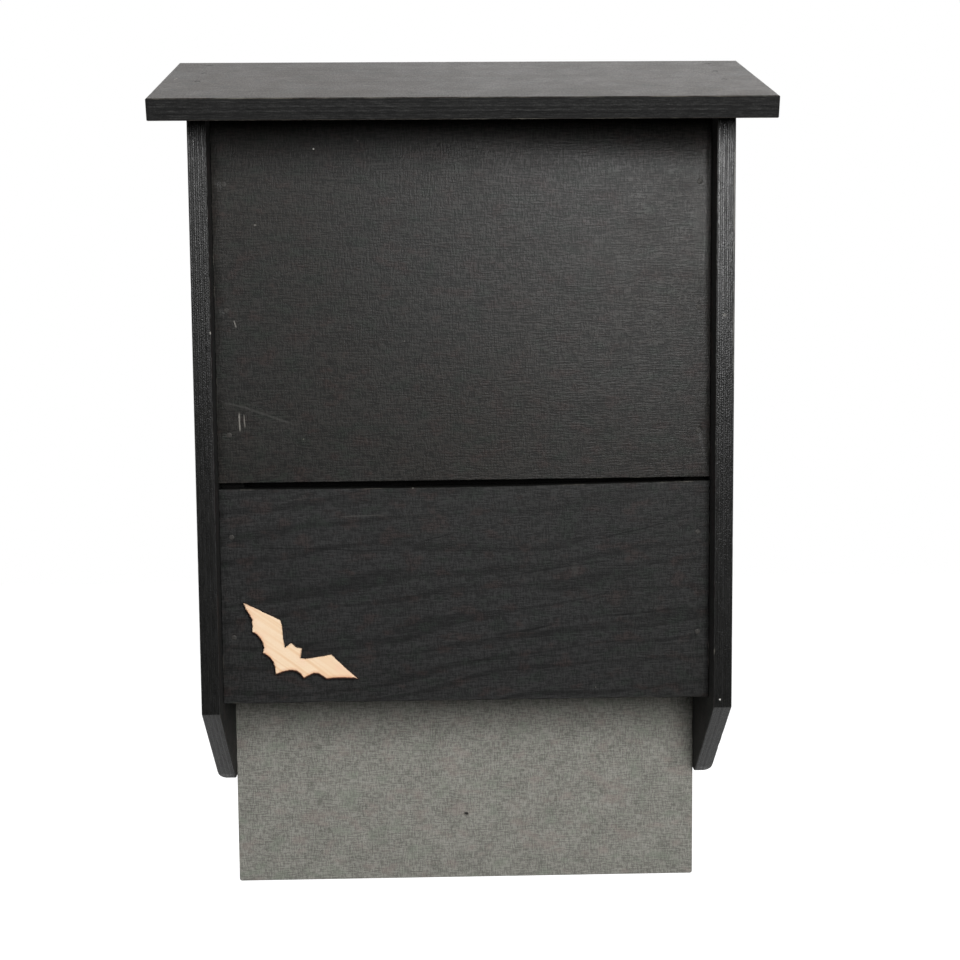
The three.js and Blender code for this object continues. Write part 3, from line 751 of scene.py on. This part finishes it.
cheek = (cheekPly, "black_stained_ply", alongX)
inner = (insideShadePly, "inner_ply", alongY)
boards = {
    "left_cheek": cheek, "right_cheek": cheek,
    "upper_front_panel": (upperPly, "black_stained_ply", alongY),
    "lower_front_panel": (lowerPly, "black_stained_ply", alongY),
    "roof": (roofPly, "roof_ply", roofNormal), "back_board": (greyPly, "grey_board", alongY),
    "rear_spacer_left": inner, "rear_spacer_right": inner, "front_spacer_left": inner,
    "front_spacer_right": inner, "roost_partition": inner,
}
for seed, (node, look) in enumerate(boards.items(), 1):
    finishedBoard(node, *look, seed, worn=node != "roost_partition")
print("boards finished")


# The bat: cut fine enough to carry the cutter's burn, which is darkest right at the outline, with a painted
# shadow that darkens the rim further along its lower edges

batShape = {
    "round": 0.35 * mm, "steps": 2, "profile": 0.6, "cell": 0.9 * mm, "softening": 0.6 * mm,
    "frontBelow": -0.9, "wallBelow": 0.3, "sharp": radians(40),
    "rim": 1.5 * mm, "rimLeast": 0.45, "rimShadowDown": 0.75, "smoke": 3.4 * mm, "smokeLeast": 0.05,
}

# Where the outline in the photograph lies beside the solid's: place across and up, step across and up

batSteps = (
    (-139, -62.6, -0.5, -0.1), (-134.9, -65.2, 0.5, 0.2), (-130.8, -67.5, 0.3, 0.7),
    (-126.7, -69.6, 0.2, 0.6), (-122.5, -71.6, 0.2, 0.6), (-118.3, -73.3, 1.8, -0.8), (-117.5, -77.8, 2, 0),
    (-116.6, -81.9, 1.4, 0), (-115.7, -85.5, 0.7, 0.1), (-114.8, -88.8, 0.4, 0), (-113.9, -91.6, -0.2, -0.1),
    (-108.9, -88.3, -1.3, -0.3), (-106.7, -91.7, -0.1, 0.3), (-102.7, -92.7, -0.6, 0.5),
    (-104.1, -98.4, -0.2, 0), (-101.1, -98.3, 0, -0.3), (-97.8, -98.1, 0, -0.2), (-94, -97.7, 0, 0),
    (-89.9, -97.1, 0, 0), (-85.4, -96.3, 0.5, 0), (-82.4, -99.7, 0.2, 0.5), (-79.1, -102.9, 0.2, 0.6),
    (-75.7, -106.1, 0.2, 0.4), (-72.1, -109.2, 0.2, 0.3), (-68.3, -112.1, 0, 0), (-72.4, -111.1, 0, -0.9),
    (-76.3, -110.6, 0, -1.2), (-80.3, -110.7, 0, -1), (-84.2, -111.4, 0, -0.4), (-88, -112.7, -0.1, 0.4),
    (-90.7, -110.2, 0, -0.4), (-93.5, -108.8, 0, 0), (-96.4, -108.7, 0, 0), (-99.5, -109.7, 0, -0.4),
    (-102.7, -111.9, 0.1, 0.2), (-104.6, -109.1, 0, 0.2), (-107.1, -107.4, 0, 0.3), (-110.3, -106.7, 0, 0.3),
    (-114.2, -107.2, 0, 0.2), (-118.7, -108.8, -1.4, -0.2), (-118.7, -104, -1.9, -0.2),
    (-119.6, -100.3, -2.2, -0.5), (-121.2, -97.5, -2.1, -1), (-123.7, -95.7, -2, -0.8),
    (-127, -94.9, -1, -0.2), (-126, -91.1, -1.1, -0.4), (-126.1, -87.9, -1.9, -0.5),
    (-127.3, -85.2, -2, -0.9), (-129.5, -83, -2.1, -0.4), (-132.8, -81.3, -1.4, -0.1),
    (-132.9, -77.3, -1.2, -0.2), (-133.6, -73.4, -0.8, -0.3), (-134.8, -69.7, -1.3, -0.7),
    (-136.6, -66.1, -1.6, -0.9),
)


def asPhotographed(point):
    # The mean of the steps near by, each weighed by the inverse fourth power of its distance
    step, total = Vector((0.0, 0.0, 0.0)), 0.0
    for x, z, across, up in batSteps:
        away = (point.x - x * mm) ** 2 + (point.z - z * mm) ** 2
        weight = 1 / (away + batShape["softening"] ** 2) ** 2
        step += Vector((across * mm, 0.0, up * mm)) * weight
        total += weight
    return point + step / total


def nearestRim(point, rims):
    # Distance to the outline, and how far down the nearest bit of it looks
    best, down = None, 0.0
    for first, span, length, outward in rims:
        share = min(1.0, max(0.0, (point - first).dot(span) / length))
        away = (point - first - span * share).length
        if best is None or away < best:
            best, down = away, max(0.0, -outward.z)
    return best, down


def finishedBat():
    mesh, shape = mergedCopy("bat_ornament", "batFinished")

    def frontFaces():
        return [face for face in shape.faces if face.normal.y < batShape["frontBelow"]]

    for corner in shape.verts:
        corner.co = asPhotographed(corner.co)
    shape.normal_update()
    rimEdges = [line for face in frontFaces() for line in face.edges]
    rims = []
    for line in rimEdges:
        wall = [face for face in line.link_faces if face.normal.y > batShape["frontBelow"]][0]
        first, span = line.verts[0].co.copy(), line.verts[1].co - line.verts[0].co
        rims.append((first, span, span.length_squared, wall.normal.copy()))
    bmesh.ops.bevel(shape, geom=rimEdges, offset=batShape["round"], segments=batShape["steps"],
                    profile=batShape["profile"], affect="EDGES", clamp_overlap=True)
    low = Vector(min(corner.co[axis] for corner in shape.verts) for axis in range(3))
    high = Vector(max(corner.co[axis] for corner in shape.verts) for axis in range(3))
    for axis, normal in ((0, alongX), (2, alongZ)):
        for number in range(1, int((high[axis] - low[axis]) / batShape["cell"])):
            cut = low + normal * number * batShape["cell"]
            faces = frontFaces()
            lines = {line for face in faces for line in face.edges}
            corners = {corner for face in faces for corner in face.verts}
            bmesh.ops.bisect_plane(shape, geom=faces + list(lines) + list(corners), dist=weld,
                                   plane_co=cut, plane_no=normal)
    bmesh.ops.triangulate(shape, faces=shape.faces)
    shape.normal_update()
    walls = [float(abs(face.normal.y) < batShape["wallBelow"]) for face in shape.faces]
    rimValues, smokeValues = [], []
    for corner in shape.verts:
        away, down = nearestRim(corner.co, rims)
        # Painted shadow: the rim darkens more where the outline faces down, where the bat's shadow falls
        rimDarkness = batShape["rimLeast"] + batShape["rimShadowDown"] * down
        rimValues.append(max(0.0, 1 - away / batShape["rim"]) * rimDarkness)
        reach = max(0.0, 1 - away / batShape["smoke"])
        smokeValues.append(reach * reach * (batShape["smokeLeast"] + down))
    closeShape(shape, mesh)
    setValues(mesh, "edge", "FACE", walls)
    setValues(mesh, "rim", "POINT", rimValues)
    setValues(mesh, "smoke", "POINT", smokeValues)
    smoothed(mesh, batShape["sharp"])
    mesh.materials.append(batPly)
    piece = linkedObject("bat_finished", mesh)
    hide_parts("bat_ornament")
    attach(piece, "root")


finishedBat()
print("bat finished")


# Pins and screws: one turned master of each length, set out along its row by a node tree

pinShape = {
    "head": 1.76 * mm, "headHeight": 1.0 * mm, "crown": 0.12 * mm, "shank": 0.8 * mm, "point": 2.0 * mm,
    "rings": 3, "ringPitch": 0.9 * mm, "ringDepth": 0.08 * mm, "segments": 20, "headFoot": 0.9,
    "crownSteps": ((0.5, 0.0), (0.8, 0.3), (0.95, 1.0), (1.0, 2.5)),
    "pointSteps": ((1.0, 1.0), (0.45, 0.4), (0.05, 0.0)),
}
screwShape = {
    "head": 3.5 * mm, "rim": 0.4 * mm, "cone": 2.2 * mm, "shank": 1.75 * mm, "core": 1.25 * mm,
    "smooth": 8.0 * mm, "pitch": 1.6 * mm, "turnSteps": 8, "ridge": 4.0, "point": 5.0 * mm, "tip": 0.06,
    "segments": 32, "headSteps": ((0.3, 0.0), (0.7, 0.0), (0.97, 0.0), (1.0, 0.1), (1.0, 1.0)),
    "waist": 0.75, "waistDepth": 0.4, "crossLength": 3.92 * mm, "crossWidth": 0.91 * mm,
    "crossDepth": 1.3 * mm, "crossTaper": (0.6, 0.7),
}
rowShape = {"deepest": 0.12 * mm, "headBand": 0.01 * mm, "sharp": radians(35)}


def turnedMesh(name, rings, segments):
    # Rings of radius and height, closed at both ends; a radius may be a function of the angle
    shape = bmesh.new()
    angles = [2 * pi * k / segments for k in range(segments)]
    loops = []
    for radius, height in rings:
        radii = [radius(angle) if callable(radius) else radius for angle in angles]
        loops.append([shape.verts.new((size * cos(angle), size * sin(angle), height))
                      for size, angle in zip(radii, angles)])
    for upper, lower in zip(loops, loops[1:]):
        for k in range(segments):
            after = (k + 1) % segments
            shape.faces.new((upper[k], lower[k], lower[after], upper[after]))
    for loop, height, turn in ((loops[0], rings[0][1], 1), (loops[-1], rings[-1][1], -1)):
        middle = shape.verts.new((0.0, 0.0, height))
        for k in range(segments):
            shape.faces.new((middle, loop[k], loop[(k + 1) % segments])[::turn])
    return closeShape(shape, bpy.data.meshes.new(name))


def pinMaster(length):
    s = pinShape
    head, shank, foot = s["head"], s["shank"], -s["headHeight"]
    rings = [(share * head, -depth * s["crown"]) for share, depth in s["crownSteps"]]
    rings += [(head, foot + s["crown"]), (s["headFoot"] * head, foot), (shank, foot - s["crown"])]
    for ring in range(s["rings"]):
        level = foot - (ring + 1) * s["ringPitch"]
        rings += [(shank, level), (shank - s["ringDepth"], level - s["ringDepth"]),
                  (shank, level - 2 * s["ringDepth"])]
    rings += [(share * shank, -length + height * s["point"]) for share, height in s["pointSteps"]]
    return linkedObject("pinMaster", turnedMesh("pinMaster", rings, s["segments"]))


def threadAt(level, length):
    # Radius round the shank: a helix that runs out below the head and into the point
    s = screwShape
    fade = min(1.0, max(0.0, (-level - s["smooth"]) / s["pitch"]))
    taper = min(1.0, max(s["tip"], (length + level) / s["point"]))

    def radiusAt(angle):
        turn = (level / s["pitch"] - angle / (2 * pi)) % 1.0
        ridge = max(0.0, 1 - abs(turn - 0.5) * s["ridge"])
        core = s["shank"] + (s["core"] - s["shank"]) * fade
        return (core + (s["shank"] - core) * ridge) * taper

    return radiusAt


def screwMaster(length):
    s = screwShape
    level = -s["rim"] - s["cone"]
    rings = [(share * s["head"], -depth * s["rim"]) for share, depth in s["headSteps"]]
    rings += [(s["waist"] * s["head"], -s["rim"] - s["waistDepth"] * s["cone"]), (s["shank"], level)]
    while level > -length:
        level = max(-length, level - s["pitch"] / s["turnSteps"])
        rings.append((threadAt(level, length), level))
    screw = linkedObject("screwMaster", turnedMesh("screwMaster", rings, s["segments"]))
    shape = bmesh.new()
    for turn in (0.0, 90.0):
        made = bmesh.ops.create_cube(shape, size=1.0)["verts"]
        for corner in made:
            low = corner.co.z < 0
            along, across = s["crossTaper"] if low else (1.0, 1.0)
            corner.co = Vector((corner.co.x * s["crossLength"] * along, corner.co.y * s["crossWidth"] * across,
                                -s["crossDepth"] if low else s["crossDepth"]))
        bmesh.ops.rotate(shape, verts=made, cent=(0, 0, 0), matrix=Matrix.Rotation(radians(turn), 3, "Z"))
    cutter = linkedObject("crossCutter", closeShape(shape, bpy.data.meshes.new("crossCutter")))
    recess = screw.modifiers.new("recess", "BOOLEAN")
    recess.operation, recess.object, recess.solver, recess.use_self = "DIFFERENCE", cutter, "EXACT", True
    madePlain(screw)
    bpy.data.objects.remove(cutter)
    return screw


def buildRowTree():
    # Sets a master on every point, head along the point's axis, each turned and sunk a little differently
    tree = bpy.data.node_groups.new("fastenerRow", "GeometryNodeTree")
    tree.is_modifier = True
    for label, kind in (("Places", "Geometry"), ("Master", "Object"), ("Finish", "Material"),
                        ("Seed", "Int"), ("Deepest", "Float")):
        tree.interface.new_socket(label, in_out="INPUT", socket_type="NodeSocket" + kind)
    tree.interface.new_socket("Fasteners", in_out="OUTPUT", socket_type="NodeSocketGeometry")
    start = tree.nodes.new("NodeGroupInput").outputs
    end = tree.nodes.new("NodeGroupOutput").inputs
    axis = addNode(tree, "GeometryNodeInputNamedAttribute", {"Name": "axis"},
                   data_type="FLOAT_VECTOR").outputs[0]
    sink = addNode(tree, "FunctionNodeRandomValue", {"Seed": start["Seed"]}, data_type="FLOAT").outputs[1]
    depth = times(tree, sink, times(tree, start["Deepest"], -1.0))
    moved = addNode(tree, "GeometryNodeSetPosition", {
        "Geometry": start["Places"], "Offset": vectorOf(tree, "SCALE", axis, scale=depth)}).outputs[0]
    upright = addNode(tree, "FunctionNodeAlignRotationToVector", {"Vector": axis}, axis="Z").outputs[0]
    angle = addNode(tree, "FunctionNodeRandomValue", {
        3: 2 * pi, "Seed": plus(tree, start["Seed"], 1.0)}, data_type="FLOAT").outputs[1]
    spin = addNode(tree, "FunctionNodeAxisAngleToRotation", {
        "Axis": (0.0, 0.0, 1.0), "Angle": angle}).outputs[0]
    turned = addNode(tree, "FunctionNodeRotateRotation", {
        "Rotation": upright, "Rotate By": spin}, rotation_space="LOCAL").outputs[0]
    master = addNode(tree, "GeometryNodeObjectInfo", {"Object": start["Master"]}).outputs["Geometry"]
    row = addNode(tree, "GeometryNodeInstanceOnPoints", {
        "Points": moved, "Instance": master, "Rotation": turned}).outputs[0]
    whole = addNode(tree, "GeometryNodeRealizeInstances", {"Geometry": row}).outputs[0]
    finished = addNode(tree, "GeometryNodeSetMaterial", {
        "Geometry": whole, "Material": start["Finish"]}).outputs[0]
    tree.links.new(finished, end["Fasteners"])
    return tree


rowTree = buildRowTree()
rowInputs = {item.name: item.identifier for item in rowTree.interface.items_tree if item.in_out == "INPUT"}


def headPlace(node, axis):
    # The middle of a solid's head, and its length along the axis that points out of the head
    corners = {tuple(round(value, 7) for value in corner.co) for corner in nodes[node].data.vertices}
    corners = [Vector(corner) for corner in corners]
    top = max(corner.dot(axis) for corner in corners)
    low = min(corner.dot(axis) for corner in corners)
    rim = [corner for corner in corners if top - corner.dot(axis) < rowShape["headBand"]]
    return sum(rim, Vector()) / len(rim), top - low


def fastenerRow(name, axes, master, material, seed):
    places = [headPlace(node, axis) + (axis,) for node, axis in axes]
    mesh = bpy.data.meshes.new(name)
    mesh.from_pydata([place for place, length, axis in places], [], [])
    values = [value for place, length, axis in places for value in axis]
    mesh.attributes.new("axis", "FLOAT_VECTOR", "POINT").data.foreach_set("vector", values)
    piece = linkedObject(name, mesh)
    model = master(places[0][1])
    row = piece.modifiers.new("row", "NODES")
    row.node_group = rowTree
    inputs = {"Master": model, "Finish": material, "Seed": seed, "Deepest": rowShape["deepest"]}
    for label, value in inputs.items():
        row[rowInputs[label]] = value
    smoothed(madePlain(piece), rowShape["sharp"])
    bpy.data.objects.remove(model)
    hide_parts(*[node for node, axis in axes])
    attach(piece, "root")


def rowOf(prefix, axisAt):
    return [(node, axisAt(node)) for node in sorted(nodes) if node.startswith(prefix)]


for number, prefix in enumerate(("upper_panel_pin", "lower_panel_pin", "partition_pin")):
    fastenerRow(prefix + "s", rowOf(prefix, lambda node: -alongY), pinMaster, pinSteel, number)
fastenerRow("roof_pins", rowOf("roof_pin", lambda node: roofNormal), pinMaster, roofPinSteel, 3)
fastenerRow("side_screws", rowOf("side_screw", lambda node: -alongX if "left" in node else alongX),
            screwMaster, screwSteel, 4)
print("fasteners set")


# Camera, lamps, floor and backdrop

cameraLook = {
    "place": (-21.81 * mm, -1147.26 * mm, 128.48 * mm), "yaw": 1.6616, "pitch": -6.1783, "roll": -0.4595,
    "lens": 64.719, "sensor": 36.0, "nearest": 0.05,
}


def addCamera():
    data = bpy.data.cameras.new("photoCamera")
    data.lens = cameraLook["lens"]
    data.sensor_width = cameraLook["sensor"]
    data.clip_start = cameraLook["nearest"]
    camera = linkedObject("photoCamera", data)
    turn = (Matrix.Rotation(radians(-cameraLook["yaw"]), 4, "Z")
            @ Matrix.Rotation(radians(90 + cameraLook["pitch"]), 4, "X")
            @ Matrix.Rotation(radians(cameraLook["roll"]), 4, "Z"))
    camera.matrix_world = Matrix.Translation(cameraLook["place"]) @ turn
    scene.camera = camera


# Azimuth from straight in front towards the object's right, height, distance, width, length, power

lamps = {
    "leftKey": (-17.0, 21.0, 1.6, 0.36, 0.76, 3.8),
    "rightKey": (11.5, 18.0, 1.56, 0.36, 0.76, 20.0),
    "rightFill": (30.0, 20.0, 2.0, 0.8, 0.7, 6.0),
    "rearLeft": (-142.0, 4.0, 2.0, 0.6, 0.9, 14.0),
    "rearRight": (142.0, 4.0, 2.0, 0.6, 0.9, 14.0),
    "backFill": (164.0, 24.0, 2.0, 1.1, 0.6, 1.5),
    "rightPanel": (84.0, 12.0, 1.6, 0.5, 1.0, 1.5),
    "leftPanel": (-48.0, 24.0, 1.8, 0.7, 0.7, 1.4),
}


def addLamp(name, azimuth, height, distance, width, length, power):
    data = bpy.data.lights.new(name, "AREA")
    data.shape, data.size, data.size_y, data.energy = "RECTANGLE", width, length, power
    lamp = linkedObject(name, data)
    turn, lift = radians(azimuth), radians(height)
    away = Vector((sin(turn) * cos(lift), -cos(turn) * cos(lift), sin(lift)))
    lamp.location = away * distance
    lamp.rotation_euler = away.to_track_quat("Z", "Y").to_euler()


white = (1.0, 1.0, 1.0, 1.0)
studio = {
    "ambient": 0.03, "floorBelow": 0.3, "floorWide": 3.0, "floorFront": 0.25, "floorBack": 3.0,
    "floorColour": (0.2, 0.2, 0.2, 1.0), "floorRough": 0.9, "floorGlow": 0.98, "floorMirrored": 0.5,
    "roomAway": 3.2, "roomWide": 6.0, "roomHigh": 4.0, "roomColour": (0.03, 0.03, 0.03, 1.0), "roomRough": 1.0,
}


def cameraSees(tree, mirrored=1.0):
    # 1 for what the camera sees directly, and a share of it for what it sees in a mirror or through glass
    path = addNode(tree, "ShaderNodeLightPath").outputs
    bent = mathOf(tree, "MAXIMUM", path["Is Glossy Ray"], path["Is Transmission Ray"])
    return mathOf(tree, "MAXIMUM", path["Is Camera Ray"], times(tree, bent, mirrored))


def addWorld():
    world = bpy.data.worlds.new("paleStudio")
    scene.world = world
    world.use_nodes = True
    tree = world.node_tree
    tree.nodes.clear()
    strength = mathOf(tree, "MAXIMUM", cameraSees(tree), studio["ambient"])
    background = addNode(tree, "ShaderNodeBackground", {"Color": white, "Strength": strength})
    output = tree.nodes.new("ShaderNodeOutputWorld")
    tree.links.new(background.outputs[0], output.inputs["Surface"])


def addSheet(name, corners, colour, rough):
    material, tree, shader = newMaterial(name)
    shader.inputs["Base Color"].default_value = colour
    shader.inputs["Roughness"].default_value = rough
    mesh = bpy.data.meshes.new(name)
    mesh.from_pydata(corners, [], [(0, 1, 2, 3)])
    mesh.materials.append(material)
    sheet = linkedObject(name, mesh)
    return sheet, tree, shader


def addFloor():
    wide, front, back = studio["floorWide"], -studio["floorFront"], studio["floorBack"]
    level = cadBox[0][2] - studio["floorBelow"]
    corners = [(-wide, front, level), (wide, front, level), (wide, back, level), (-wide, back, level)]
    sheet, tree, shader = addSheet("floor", corners, studio["floorColour"], studio["floorRough"])
    shader.inputs["Emission Color"].default_value = white
    glow = times(tree, cameraSees(tree, studio["floorMirrored"]), studio["floorGlow"])
    tree.links.new(glow, shader.inputs["Emission Strength"])


def addRoom():
    # The dark room behind the camera, which the camera itself doesn't see
    wide, high, away = studio["roomWide"], studio["roomHigh"], -studio["roomAway"]
    corners = [(-wide, away, -high), (wide, away, -high), (wide, away, high), (-wide, away, high)]
    sheet, tree, shader = addSheet("darkRoom", corners, studio["roomColour"], studio["roomRough"])
    sheet.visible_camera = False


addCamera()
for name, look in lamps.items():
    addLamp(name, *look)
addWorld()
addFloor()
addRoom()
scene.view_settings.view_transform = "Standard"
print("camera, lamps and floor placed")
